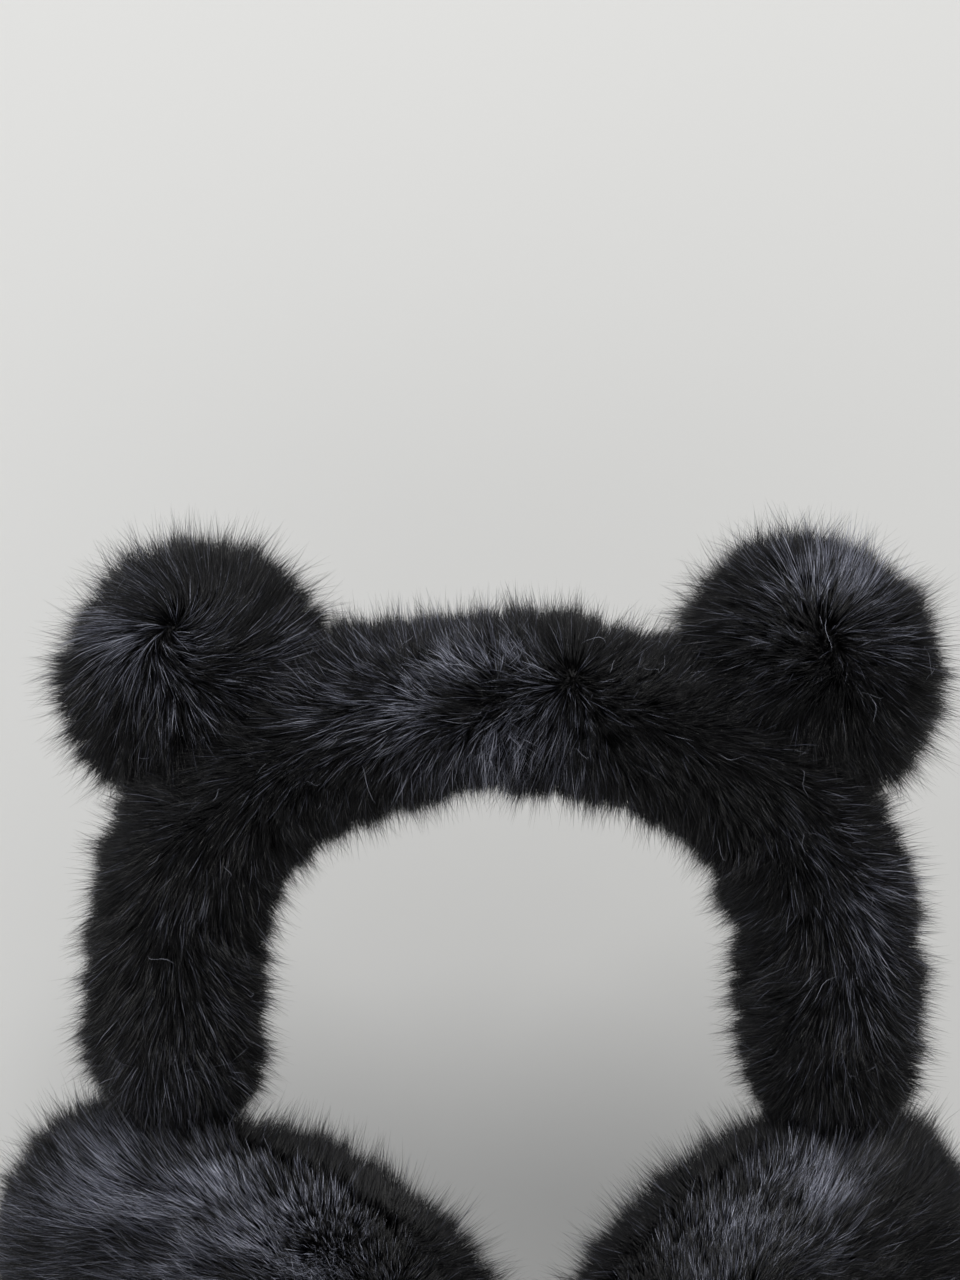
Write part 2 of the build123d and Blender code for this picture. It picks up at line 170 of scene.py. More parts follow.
def arch_frame(points, side):
    """Nearest s along the arch, outward direction and downhill tangent, for points near the band."""
    x, z = points[:, 0] * side, points[:, 2]
    turn = np.arctan2(x, z - CROWN_CENTRE_Z)
    s = np.where(turn < CROWN_TURN, turn * CROWN_RADIUS, 0)
    corner = np.arctan2(x - CORNER_X, np.maximum(z, 0))
    s = np.where(turn >= CROWN_TURN, CROWN_ARC + (corner - CROWN_TURN) * CORNER_RADIUS, s)
    s = np.where(z < 0, ARM_TOP_S - z, s)
    _, out, down = arch(np.maximum(s, 0))
    return s, out * [side, 1, 1], down * [side, 1, 1]


# --- smooth noise --------------------------------------------------------------------------------
class Waves:
    """Sum of random plane waves: a smooth noise with an exact gradient."""

    COUNT = 26
    SPREAD = 0.45

    def __init__(self, wavelength):
        directions = unit(rng.normal(size=(self.COUNT, 3)))
        lengths = wavelength * np.exp(rng.normal(0, self.SPREAD, self.COUNT))
        self.k = directions * (2 * math.pi / lengths)[:, None]
        self.phase = rng.uniform(0, 2 * math.pi, self.COUNT)
        self.gain = math.sqrt(2 / self.COUNT)
        self.wavelength = wavelength

    def value(self, p):
        return self.gain * np.sin(p @ self.k.T + self.phase).sum(1)

    def slope(self, p):
        """Gradient, scaled by the wavelength so that it is about one."""
        wave = np.cos(p @ self.k.T + self.phase)
        return self.gain * (wave @ self.k) * self.wavelength / (2 * math.pi)


TUFTS = Waves(5.5 * MM)
LOCKS = Waves(20 * MM)
DRIFT = Waves(60 * MM)
LUMPS = Waves(34 * MM)
STREAKS = Waves(2.2 * MM)
PATCHES = Waves(17 * MM)


# --- materials -----------------------------------------------------------------------------------
def new_material(name, roughness, metallic=0.0):
    material = bpy.data.materials.new(name)
    material.use_nodes = True
    shader = material.node_tree.nodes["Principled BSDF"]
    shader.inputs["Roughness"].default_value = roughness
    shader.inputs["Metallic"].default_value = metallic
    return material, material.node_tree, shader


def ramp(tree, stops, source, target):
    node = tree.nodes.new("ShaderNodeValToRGB")
    elements = node.color_ramp.elements
    while len(elements) < len(stops):
        elements.new(0.5)
    for element, (position, colour) in zip(elements, stops):
        element.position = position
        element.color = (*colour, 1)
    tree.links.new(source, node.inputs[0])
    tree.links.new(node.outputs[0], target)


def grey(value):
    return (value, value, value)


def hair_material(name, roughness, shine):
    """Hair colour from the strand's tone, which carries the painted sheen, darker towards its root."""
    material, tree, shader = new_material(name, roughness)
    shader.inputs["Specular IOR Level"].default_value = shine
    uv = tree.nodes.new("ShaderNodeUVMap")
    uv.uv_map = "OFBake"
    split = tree.nodes.new("ShaderNodeSeparateXYZ")
    tree.links.new(uv.outputs[0], split.inputs[0])
    mix = tree.nodes.new("ShaderNodeMix")
    mix.data_type = "RGBA"
    mix.blend_type = "MULTIPLY"
    mix.inputs["Factor"].default_value = 1
    ramp(tree, HAIR_TONES, split.outputs[0], mix.inputs["A"])
    ramp(tree, ROOT_TO_TIP, split.outputs[1], mix.inputs["B"])
    tree.links.new(mix.outputs["Result"], shader.inputs["Base Color"])
    return material


def noise_material(name, dark, light, size, roughness, metallic=0.0, bump=0.0):
    """Plain material with a grain of a given size."""
    material, tree, shader = new_material(name, roughness, metallic)
    place = tree.nodes.new("ShaderNodeTexCoord")
    noise = tree.nodes.new("ShaderNodeTexNoise")
    noise.inputs["Scale"].default_value = 1 / size
    noise.inputs["Detail"].default_value = 5
    tree.links.new(place.outputs["Object"], noise.inputs["Vector"])
    ramp(tree, [(0.3, dark), (0.7, light)], noise.outputs[0], shader.inputs["Base Color"])
    if bump:
        node = tree.nodes.new("ShaderNodeBump")
        node.inputs["Strength"].default_value = bump
        node.inputs["Distance"].default_value = size * 0.2
        tree.links.new(noise.outputs[0], node.inputs["Height"])
        tree.links.new(node.outputs[0], shader.inputs["Normal"])
    return material


# Strand tone from near black, through the bluish grey used for painted sheen, to a pale stray hair, and how a
# strand brightens from root to tip
HAIR_TONES = [
    (0.0, (0.0020, 0.0020, 0.0026)),
    (0.4, (0.0048, 0.0048, 0.0064)),
    (0.6, (0.019, 0.020, 0.027)),
    (0.8, (0.125, 0.132, 0.178)),
    (1.0, (0.50, 0.52, 0.62)),
]
ROOT_TO_TIP = [(0.0, grey(0.25)), (0.55, grey(0.9)), (1.0, grey(1.25))]
UNDERCOAT = hair_material("black_fur_undercoat", 0.50, 0.25)
GUARD = hair_material("black_fur_guard_hairs", 0.32, 0.50)
HIDE = noise_material("black_fur_backing", grey(0.0012), (0.0035, 0.0035, 0.0042), 1.2 * MM, 0.95)
WHITE_DARK, WHITE_LIGHT = (0.60, 0.60, 0.58), (0.85, 0.85, 0.83)
FOAM_DARK, FOAM_LIGHT = (0.36, 0.36, 0.37), (0.55, 0.55, 0.56)
NYLON_DARK, NYLON_LIGHT = (0.62, 0.62, 0.58), (0.75, 0.75, 0.72)
CAD_MATERIALS = {
    "wadding": noise_material("white_wadding", WHITE_DARK, WHITE_LIGHT, 1.5 * MM, 0.95, bump=0.6),
    "foam": noise_material("grey_foam", FOAM_DARK, FOAM_LIGHT, 0.6 * MM, 0.95, bump=0.5),
    "felt": noise_material("black_felt", grey(0.012), grey(0.035), 0.5 * MM, 0.98, bump=0.5),
    "cord": noise_material("black_cord", grey(0.010), grey(0.04), 0.4 * MM, 0.85, bump=0.6),
    "tape": noise_material("black_tape", grey(0.015), grey(0.045), 0.3 * MM, 0.85, bump=0.4),
    "board": noise_material("grey_board", grey(0.07), grey(0.12), 0.8 * MM, 0.75, bump=0.2),
    "band_plastic": noise_material("black_plastic", grey(0.02), grey(0.032), 3 * MM, 0.45, bump=0.05),
    "washer_plastic": noise_material("white_nylon", NYLON_DARK, NYLON_LIGHT, 2 * MM, 0.4),
    "steel": noise_material("plain_steel", grey(0.42), grey(0.58), 0.4 * MM, 0.32, 1.0, 0.1),
    "spring_steel": noise_material("spring_wire", grey(0.30), grey(0.44), 0.3 * MM, 0.35, 1.0, 0.1),
}


def dress_cad_nodes():
    for row in frame["record"]["subparts"]:
        material = CAD_MATERIALS.get(row["material_slot"])
        if material:
            data = frame["nodes"][row["node"]].data
            data.materials.clear()
            data.materials.append(material)


# --- meshes --------------------------------------------------------------------------------------
def triangle_mesh(name, vertices, triangles, material, uv=None):
    """A smooth mesh object from vertex and triangle arrays."""
    mesh = bpy.data.meshes.new(name)
    mesh.vertices.add(len(vertices))
    mesh.vertices.foreach_set("co", vertices.astype(np.float32).ravel())
    mesh.loops.add(triangles.size)
    mesh.loops.foreach_set("vertex_index", triangles.astype(np.int32).ravel())
    mesh.polygons.add(len(triangles))
    mesh.polygons.foreach_set("loop_start", np.arange(0, triangles.size, 3, dtype=np.int32))
    mesh.polygons.foreach_set("use_smooth", np.ones(len(triangles), bool))
    if uv is not None:
        layer = mesh.uv_layers.new(name="OFBake")
        layer.data.foreach_set("uv", uv[triangles.ravel()].astype(np.float32).ravel())
    mesh.update(calc_edges=True)
    mesh.materials.append(material)
    obj = bpy.data.objects.new(name, mesh)
    bpy.context.scene.collection.objects.link(obj)
    return obj


def grid_triangles(rows, columns):
    """Triangles of rows of points, each row closed into a ring, with a fan to a pole point at either end.
    The two poles are the last two vertices."""
    ring = np.arange(columns)
    following = (ring + 1) % columns
    parts = []
    for row in range(rows - 1):
        a, b = row * columns, (row + 1) * columns
        parts.append(np.stack([a + ring, b + ring, b + following], 1))
        parts.append(np.stack([a + ring, b + following, a + following], 1))
    first, last = rows * columns, rows * columns + 1
    parts.append(np.stack([np.full(columns, first), ring, following], 1))
    end = (rows - 1) * columns
    parts.append(np.stack([end + ring, np.full(columns, last), end + following], 1))
    return np.concatenate(parts)


def ring_skin(rings):
    """Closed skin from an array of rings (rows, columns, 3). Returns vertices and outward triangles."""
    rows, columns, _ = rings.shape
    vertices = np.concatenate([rings.reshape(-1, 3), rings[0].mean(0)[None], rings[-1].mean(0)[None]])
    triangles = grid_triangles(rows, columns)
    corner = vertices[triangles]
    volume = np.einsum("ij,ij->i", corner[:, 0], np.cross(corner[:, 1], corner[:, 2])).sum()
    return vertices, triangles[:, ::-1] if volume < 0 else triangles


def scatter(vertices, triangles, per_mm2, keep):
    """Random points over the triangles, weighted by keep at their middles, with smooth normals."""
    corner = vertices[triangles]
    cross = np.cross(corner[:, 1] - corner[:, 0], corner[:, 2] - corner[:, 0])
    vertex_normals = np.zeros_like(vertices)
    for i in range(3):
        np.add.at(vertex_normals, triangles[:, i], cross)
    vertex_normals = unit(vertex_normals)
    area = np.linalg.norm(cross, axis=1) / 2 * keep(corner.mean(1))
    count = int(area.sum() / MM**2 * per_mm2 * DENSITY_SHARE)
    pick = rng.choice(len(triangles), count, p=area / area.sum())
    a, b = rng.random(count), rng.random(count)
    flip = a + b > 1
    a[flip], b[flip] = 1 - a[flip], 1 - b[flip]
    share = np.stack([1 - a - b, a, b], 1)[:, :, None]
    return (corner[pick] * share).sum(1), unit((vertex_normals[triangles[pick]] * share).sum(1))


# --- strands -------------------------------------------------------------------------------------
TIP_SHARE = 0.15
TONE_SPREAD = 0.012


def strand_mesh(name, roots, starts, ends, lengths, widths, tones, segments, material, wave=0.0):
    """Thin closed three-sided needles that leave a root along starts and finish along ends. Their OFBake map
    holds the strand's tone across and the share of its length up."""
    count = len(roots)
    t = np.linspace(0, 1, segments + 1)
    path = t[None, :, None] * starts[:, None] + (t**2 / 2)[None, :, None] * (ends - starts)[:, None]
    points = roots[:, None] + lengths[:, None, None] * path
    side = unit(np.cross(starts + ends, rng.normal(size=(count, 3))))
    across = unit(np.cross(starts + ends, side))
    if wave:
        swing = np.sin(t * 5.5) * t
        points += (swing[None, :, None] * side[:, None]) * (lengths * wave)[:, None, None]
        lift = (1 - np.cos(t * 4.0)) * t
        points += (lift[None, :, None] * across[:, None]) * (lengths * wave * 0.6)[:, None, None]
    narrowing = (1 - t[:-1] ** 1.6) * (1 - TIP_SHARE) + TIP_SHARE
    angle = np.arange(3) * 2 * math.pi / 3
    ring = np.cos(angle)[:, None] * side[:, None] + np.sin(angle)[:, None] * across[:, None]
    rings = points[:, :-1, None] + (widths[:, None] / 2 * narrowing)[:, :, None, None] * ring[:, None]
    vertices = np.concatenate([rings.reshape(count, -1, 3), points[:, -1:]], 1)
    base = []
    for k in range(segments - 1):
        for i in range(3):
            a, b = 3 * k + i, 3 * k + (i + 1) % 3
            base += [[a, b, b + 3], [a, b + 3, a + 3]]
    low, tip = 3 * (segments - 1), 3 * segments
    base += [[low + i, low + (i + 1) % 3, tip] for i in range(3)]
    base.append([0, 2, 1])
    each = 3 * segments + 1
    triangles = (np.array(base)[None] + each * np.arange(count)[:, None, None]).reshape(-1, 3)
    u = tones[:, None] + np.tile([-TONE_SPREAD, 0.0, TONE_SPREAD], segments + 1)[None, :each]
    v = np.tile(np.repeat(t, 3)[:each], (count, 1))
    uv = np.stack([np.clip(u, 0.01, 0.99), np.clip(v, 0.01, 0.99)], -1).reshape(-1, 2)
    return triangle_mesh(name, vertices.reshape(-1, 3), triangles, material, uv)


# How far hairs lean from the surface's normal, in radians
ROOT_LEAN = 0.45
ROOT_LEAN_LIMIT = 1.2
TIP_LEAN_LIMIT = 1.75


def flatten(v, normals):
    """The part of v that lies along the surface."""
    return v - (v * normals).sum(1, keepdims=True) * normals


def lean(normals, along, angle):
    """Direction tilted from the normal towards along by an angle."""
    return np.cos(angle)[:, None] * normals + np.sin(angle)[:, None] * along


@dataclass
class Layer:
    """One kind of hair. density, reach and lie are shares of the coat's own density, length and lie, spread
    is how much the lengths vary, and light_share is the share of pale hairs where no sheen is painted. The
    last flag gives a layer the whole of the painted sheen, lighter hair colour standing in for the highlight."""

    name: str
    material: bpy.types.Material
    density: float
    reach: float
    lie: float
    width: float
    segments: int
    spread: float
    light_share: float
    full_sheen_paint: bool


LAYERS = (
    Layer(
        "undercoat", UNDERCOAT, density=1.0, reach=1.0, lie=1.0, width=0.24 * MM, segments=1,
        spread=0.10, light_share=0.012, full_sheen_paint=False,
    ),
    Layer(
        "guard", GUARD, density=0.21, reach=1.3, lie=0.9, width=0.13 * MM, segments=3,
        spread=0.20, light_share=0.05, full_sheen_paint=True,
    ),
)


def full_length(points):
    return 1.0


@dataclass
class Coat:
    """How one stretch of fur looks. per_mm2, length and lie are its density, its hair length and how far the
    hairs lean over. tuft and stray disturb the combing in tufts and hair by hair. sheen lists spots of painted
    sheen, lighter hair colour standing in for the fur's highlight, as centre, radius and strength, and a share
    says how far the undercoat takes that painted sheen. shorten scales the length from place to place. With
    both_faces the sheen painted on the front is painted on the back too."""

    per_mm2: float
    length: float
    lie: float
    tuft: float = 0.28
    stray: float = 0.14
    sheen: tuple = ()
    sheen_paint_share: float = 0.5
    shorten: Callable = full_length
    both_faces: bool = True

    def sheen_paint(self, points):
        """How much painted sheen, lighter hair colour standing in for the highlight, each point takes: the spots
        of sheen, broken up by patches.
        """
        if self.both_faces:
            points = np.stack([points[:, 0], -np.abs(points[:, 1]), points[:, 2]], 1)
        total = np.zeros(len(points))
        for centre, radius, strength in self.sheen:
            total += strength * np.exp(-(np.linalg.norm(points - centre, axis=1) / radius) ** 2)
        return np.clip(total * (0.85 + 0.28 * PATCHES.value(points)), 0, 1.3)


def tone_of(points, sheen_paint, light_share):
    """Per-strand tone: most hairs are near black, and streaks of lighter ones gather where sheen is painted, as
    lighter hair colour standing in for the highlight.
    """
    count = len(points)
    streak = STREAKS.value(points)
    chance = np.clip(light_share + sheen_paint * (0.52 + 0.16 * streak), 0, 0.85)
    light = rng.random(count) < chance
    dark_tone = rng.uniform(0.0, 0.38, count) + 0.22 * sheen_paint
    light_tone = rng.uniform(0.60, 0.84, count) + 0.12 * sheen_paint + 0.04 * streak
    return np.clip(np.where(light, light_tone, dark_tone), 0.02, 0.98)


def trim(roots, reach_of_one, lengths):
    """Lengths cut back where a tip would leave the room round the CAD."""
    for axis in range(3):
        step = reach_of_one[:, axis]
        low, high = CAD_LOW[axis] - TIP_ROOM[axis], CAD_HIGH[axis] + TIP_ROOM[axis]
        room = np.where(step > 0, high - roots[:, axis], roots[:, axis] - low)
        lengths = np.minimum(lengths, room / np.maximum(np.abs(step), 1e-6))
    return lengths


def grow_layer(name, skin, comb, attach, coat, keep, layer):
    """One layer of hair over a skin, as pieces of limited size."""
    roots, normals = scatter(*skin, layer.density * coat.per_mm2, keep)
    count = len(roots)
    combed = comb(roots, normals)
    combed += coat.tuft * flatten(-TUFTS.slope(roots), normals)
    combed += 0.5 * coat.tuft * flatten(LOCKS.slope(roots), normals)
    combed += coat.stray * flatten(rng.normal(size=(count, 3)), normals)
    strength = np.clip(np.linalg.norm(combed, axis=1), 0.15, 1.2)
    along = unit(combed)
    root_lean = ROOT_LEAN * strength + rng.normal(0, 0.08, count)
    starts = lean(normals, along, np.clip(root_lean, 0, ROOT_LEAN_LIMIT))
    tip_lean = layer.lie * coat.lie * strength + rng.normal(0, 0.14, count)
    ends = lean(normals, along, np.clip(tip_lean, 0, TIP_LEAN_LIMIT))
    usual = layer.reach * coat.length
    lengths = usual * np.exp(rng.normal(0, layer.spread, count)) * (1 + 0.06 * LOCKS.value(roots))
    lengths = np.clip(lengths, 0.5 * usual, 1.4 * usual) * coat.shorten(roots)
    lengths = trim(roots, (starts + ends) / 2, lengths)
    widths = layer.width * WIDTH_SHARE * rng.uniform(0.7, 1.25, count)
    # Painted sheen: lighter strand tones stand in for the fur's highlight; the undercoat takes a share, the guard
    # hairs all of it
    sheen_paint_share = 1.0 if layer.full_sheen_paint else coat.sheen_paint_share
    tones = tone_of(roots, sheen_paint_share * coat.sheen_paint(roots), layer.light_share)
    most = MAX_TRIANGLES_IN_PIECE // (6 * layer.segments - 2)
    for part, at in enumerate(range(0, count, most)):
        cut = slice(at, at + most)
        attach(strand_mesh(
            f"{name}_{layer.name}_{part + 1}", roots[cut], starts[cut], ends[cut], lengths[cut],
            widths[cut], tones[cut], layer.segments, layer.material,
        ))


def grow(name, skin, comb, attach, coat, keep):
    """Undercoat and guard hairs over a skin. comb gives the hairs' lie from roots and normals, attach is called
    on each piece and on an ear or pad fixes it to that body, and keep says where hair grows."""
    for layer in LAYERS:
        grow_layer(name, skin, comb, attach, coat, keep, layer)


def lint(name, skin, attach, keep, count):
    """A few fine curled pale hairs caught in the coat."""
    roots, normals = scatter(*skin, 1.0, keep)
    pick = rng.choice(len(roots), count, replace=False)
    roots, normals = roots[pick] + 5 * MM * normals[pick], normals[pick]
    along = unit(flatten(rng.normal(size=(count, 3)), normals))
    starts = lean(normals, along, rng.uniform(0.3, 1.0, count))
    ends = lean(normals, along, rng.uniform(1.2, 2.2, count))
    lengths = rng.uniform(4, 11, count) * MM
    widths = rng.uniform(0.08, 0.12, count) * MM * WIDTH_SHARE
    pale = np.full(count, 0.95)
    attach(strand_mesh(name, roots, starts, ends, lengths, widths, pale, 6, GUARD, wave=0.2))


def hide(name, skin, attach, *nodes):
    """The skin as a piece of its own, in place of its CAD covers."""
    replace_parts(attach(triangle_mesh(name, *skin, HIDE)), *nodes)


def blend_across(a, b, start, end):
    return lambda piece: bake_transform(piece, a, b, start=tuple(start), end=tuple(end))


def ride_on(body):
    return lambda piece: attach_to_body(piece, body)


# --- band ----------------------------------------------------------------------------------------
JOIN_S = ARM_TOP_S - SLEEVE_JOIN
BEND_HALF = 11 * MM
SLEEVE_BLEND = 11 * MM
BAND_COLUMNS = 48

# Middle of the whorl that the crown's fur runs out from, and its size
WHORL_S = 17 * MM
CROWN_WHORL = array([WHORL_S, -15 * MM, CROWN_TOP + 6 * MM])
WHORL_SIZE = 26 * MM

# Patches of painted sheen on the front of the band, lighter hair colour standing in for the highlight: side, way
# along from the crown, rise, size and strength.
# On the arms the way along starts where the corner ends.
CROWN_PAINTED_SHEEN = (
    (-1, -2, -8, 14, 1.3),
    (-1, 16, 5, 18, 1.15),
    (1, 1, 2, 11, 0.7),
    (-1, 38, 7, 12, 0.5),
    (1, 14, -8, 10, 0.6),
)
ARM_PAINTED_SHEEN = (
    (-1, -16, -9, 9, 0.4),
    (-1, 4, -8, 12, 0.45),
    (-1, 28, -6, 12, 0.45),
    (-1, 30, 10, 10, 0.3),
    (1, -12, 8, 13, 0.9),
    (1, 10, 9, 11, 0.6),
    (1, -34, 4, 9, 0.35),
)


def band_spot(side, s, rise):
    """Point on the front of the band, s along from the crown and rise above the centreline."""
    centre, out, _ = arch(s)
    return (centre + rise * out) * array([side, 1, 1]) + COVER_HALF[0] * FRONT


def band_painted_sheen(rows, start):
    return [
        (band_spot(side, start + along * MM, rise * MM), size * MM, strength)
        for side, along, rise, size, strength in rows
    ]


# Every spot of painted sheen on the band, as centre, radius and strength
BAND_PAINTED_SHEEN = band_painted_sheen(CROWN_PAINTED_SHEEN, 0) + band_painted_sheen(ARM_PAINTED_SHEEN, ARM_TOP_S)


def taper(z):
    """Narrowing of the sleeve towards its lower end, behind the pad: 0 above, 1 at the end."""
    return np.clip((SLEEVE_JOIN - z) / (SLEEVE_JOIN - SLEEVE_BOTTOM), 0, 1)


def tube_skin(stations, side):
    """Skin of oval rings along the right half of the arch, mirrored for the left."""
    phi = np.linspace(0, 2 * math.pi, BAND_COLUMNS, endpoint=False)
    centre, out, _ = arch(stations)
    full = COVER_HALF - HIDE_DEPTH
    half = full + (SLEEVE_END - full) * taper(centre[:, 2])[:, None]
    rings = (
        centre[:, None]
        + (half[:, 1:] * np.cos(phi))[..., None] * out[:, None]
        + (half[:, :1] * np.sin(phi))[..., None] * FRONT
    )
    rings[..., 0] *= side
    flat = rings.reshape(-1, 3)
    spine = np.repeat(centre * [side, 1, 1], BAND_COLUMNS, axis=0)
    flat += unit(flat - spine) * (BAND_LUMP * LUMPS.value(flat))[:, None]
    return ring_skin(rings)


def band_comb(side):
    """Hair of the band fans out from the centreline, runs down the arms and away from the whorl."""

    def comb(roots, normals):
        s, out, down = arch_frame(roots, side)
        outward = (normals * out).sum(1)[:, None]
        arm = np.clip((s - CROWN_ARC) / CORNER_ARC, 0, 1)[:, None]
        fan = out * 0.75 * outward * np.abs(outward) ** 0.6
        swirl = DRIFT.value(roots)[:, None]
        from_whorl = np.tanh((s[:, None] * side - WHORL_S) / (8 * MM)) if side > 0 else 1
        settled = np.tanh(s / (15 * MM))[:, None]
        downhill = 0.12 * settled + 0.22 * arm + 0.18 * side * swirl + 1.1 * from_whorl * (1 - outward**2)
        lay = flatten(fan + down * downhill, normals)
        away = flatten(roots - CROWN_WHORL, normals)
        near = np.exp(-((np.linalg.norm(roots - CROWN_WHORL, axis=1) / WHORL_SIZE) ** 2))[:, None]
        return lay * (1 - near) + 0.9 * near * unit(away)

    return comb


def build_band(label, side):
    """Crown and arm fur of one side, over the shoulder hinge."""
    stations = np.concatenate([np.linspace(0, ARM_TOP_S, 50), np.linspace(ARM_TOP_S, JOIN_S, 12)[1:]])
    shoulder = array(JOINTS[f"{label}_shoulder_spread"]["pos_m"])
    _, _, down = arch(SHOULDER_S)
    bend = BEND_HALF * down * [side, 1, 1]
    attach = blend_across("crown", f"arm_{label}", shoulder - bend, shoulder + bend)
    skin = tube_skin(stations, side)
    crown = ["crown_cover"] if side > 0 else []
    hide(f"band_backing_{label}", skin, attach, f"arm_cover_{label}", *crown)

    def keep(p):
        return (p[:, 2] > SLEEVE_JOIN + EDGE_GAP) & (p[:, 0] * side > EDGE_GAP)

    coat = Coat(per_mm2=6.0, length=BAND_FUR, lie=1.1, sheen=BAND_PAINTED_SHEEN)
    grow(f"band_fur_{label}", skin, band_comb(side), attach, coat, keep)
    lint(f"band_lint_{label}", skin, attach, keep, count=46)


def build_sleeve(label, side):
    """The lowest stretch of arm fur, in place of the slider's cover."""
    top = array([side * ARM_X, 0, SLEEVE_JOIN])
    attach = blend_across(f"arm_{label}", f"slider_{label}", top, top - array([0, 0, SLEEVE_BLEND]))
    skin = tube_skin(np.linspace(JOIN_S + EDGE_GAP / 2, ARM_TOP_S - SLEEVE_BOTTOM, 10), side)
    hide(f"sleeve_backing_{label}", skin, attach, f"slider_cover_{label}")

    def keep(p):
        return (p[:, 2] < SLEEVE_JOIN) * 1.0

    def shorten(p):
        return 1 - 0.6 * taper(p[:, 2])

    coat = Coat(per_mm2=6.0, length=BAND_FUR, lie=1.1, sheen=BAND_PAINTED_SHEEN, shorten=shorten)
    grow(f"sleeve_fur_{label}", skin, band_comb(side), attach, coat, keep)


# --- ears ----------------------------------------------------------------------------------------
# From the middle of each ear: the whorl of its fur, and patches of painted sheen, lighter hair colour standing in
# for the highlight, as place, size and strength
EAR_WHORL = {"right": (3, -20, 11), "left": (-4, -20, 12)}
BACK_WHORL = array([0, 20, 4]) * MM
EAR_ROWS = 30
EAR_COLUMNS = 44
EAR_FLOOR_GAP = 0.4 * MM
EAR_PAINTED_SHEEN = {
    "right": (((5, -11, 22), 11, 1.4), ((15, -17, 10), 9, 0.6), ((-12, -17, 6), 9, 0.3)),
    "left": (((-10, -17, 8), 13, 1.0), ((20, -14, -2), 9, 0.8), ((2, -20, -12), 8, 0.4)),
}


def ear_comb(label, centre):
    """Hair of an ear swirls out from a whorl on each face."""
    whorl = centre + array(EAR_WHORL[label]) * MM

    def comb(roots, normals):
        towards_back = (roots[:, 1] > centre[1])[:, None]
        pole = np.where(towards_back, centre + BACK_WHORL, whorl)
        away = flatten(roots - pole, normals)
        far = np.clip(np.linalg.norm(away, axis=1, keepdims=True) / (16 * MM), 0, 1)
        swirl = np.cross(normals, unit(away)) * DRIFT.value(roots)[:, None] * 0.4
        return (0.38 + 0.34 * far) * unit(away) + swirl

    return comb


def build_ear(label, side):
    """A stuffed ball ear with a flat base, standing on the corner of the band."""
    mirror = array([side, 1, 1])
    base, out, along = (v * mirror for v in arch(EAR_S))
    cover = f"ear_front_cover_{label}"
    top, wide, deep = (reach(cover, base, way) for way in (out, along, FRONT))
    floor = -reach(cover, base, -out)
    high = (top - floor) / EAR_HEIGHT_IN_HALVES
    centre = base + (top - high) * out
    half = array([wide, deep, high]) - HIDE_DEPTH
    tilt = np.linspace(0.04, math.pi - 0.04, EAR_ROWS)
    around = np.linspace(0, 2 * math.pi, EAR_COLUMNS, endpoint=False)
    local = np.stack([
        half[0] * np.sin(tilt)[:, None] * np.cos(around),
        half[1] * np.sin(tilt)[:, None] * np.sin(around),
        half[2] * np.cos(tilt)[:, None] * np.ones(EAR_COLUMNS),
    ], -1)
    hide_floor = floor - HIDE_DEPTH + EAR_FLOOR_GAP
    local[..., 2] = np.maximum(local[..., 2], hide_floor - (top - high))
    rings = centre + local[..., :1] * along + local[..., 1:2] * FRONT + local[..., 2:] * out
    flat = rings.reshape(-1, 3)
    above_base = local[..., 2].ravel() > -high * 0.5
    flat += unit(flat - centre) * (EAR_LUMP * LUMPS.value(flat) * above_base)[:, None]
    skin = ring_skin(rings)
    attach = ride_on(f"ear_{label}")
    hide(f"ear_backing_{label}", skin, attach, cover, f"ear_back_cover_{label}")

    def keep(p):
        return ((p - base) @ out > hide_floor + EAR_FLOOR_GAP) * 1.0

    # Spots of painted sheen round the ear's middle: lighter hair colour in place of the highlight
    sheen = [(centre + array(at) * MM, size * MM, strength) for at, size, strength in EAR_PAINTED_SHEEN[label]]
    coat = Coat(per_mm2=6.4, length=EAR_FUR, lie=1.0, tuft=0.25, sheen=sheen)
    grow(f"ear_fur_{label}", skin, ear_comb(label, centre), attach, coat, keep)
    lint(f"ear_lint_{label}", skin, attach, keep, count=16)


# --- ear pads ------------------------------------------------------------------------------------
# The outer fur is brushed upwards, and this far outwards
PAD_NAP = {"right": -0.30, "left": 0.45}

# Patches of painted sheen on each outer cover, lighter hair colour standing in for the highlight: height above its
# middle, distance inwards, size and strength
PAD_PAINTED_SHEEN = {
    "right": ((56, 18, 13, 1.05), (48, 38, 10, 0.75), (37, 48, 9, 0.6), (28, 16, 18, 0.05)),
    "left": (
        (56, -8, 18, 0.50), (54, 16, 18, 0.75), (46, 32, 15, 0.75), (34, 46, 12, 0.45),
        (36, -36, 20, 0.45), (34, 6, 22, 0.42), (22, 18, 18, 0.25), (10, -20, 26, 0.22),
    ),
}
PAD_ROWS = 22
PAD_COLUMNS = 72
DOME_POWER = {"outer": 3.6, "inner": 4.0}
RIM_LIFT = 0.3 * MM


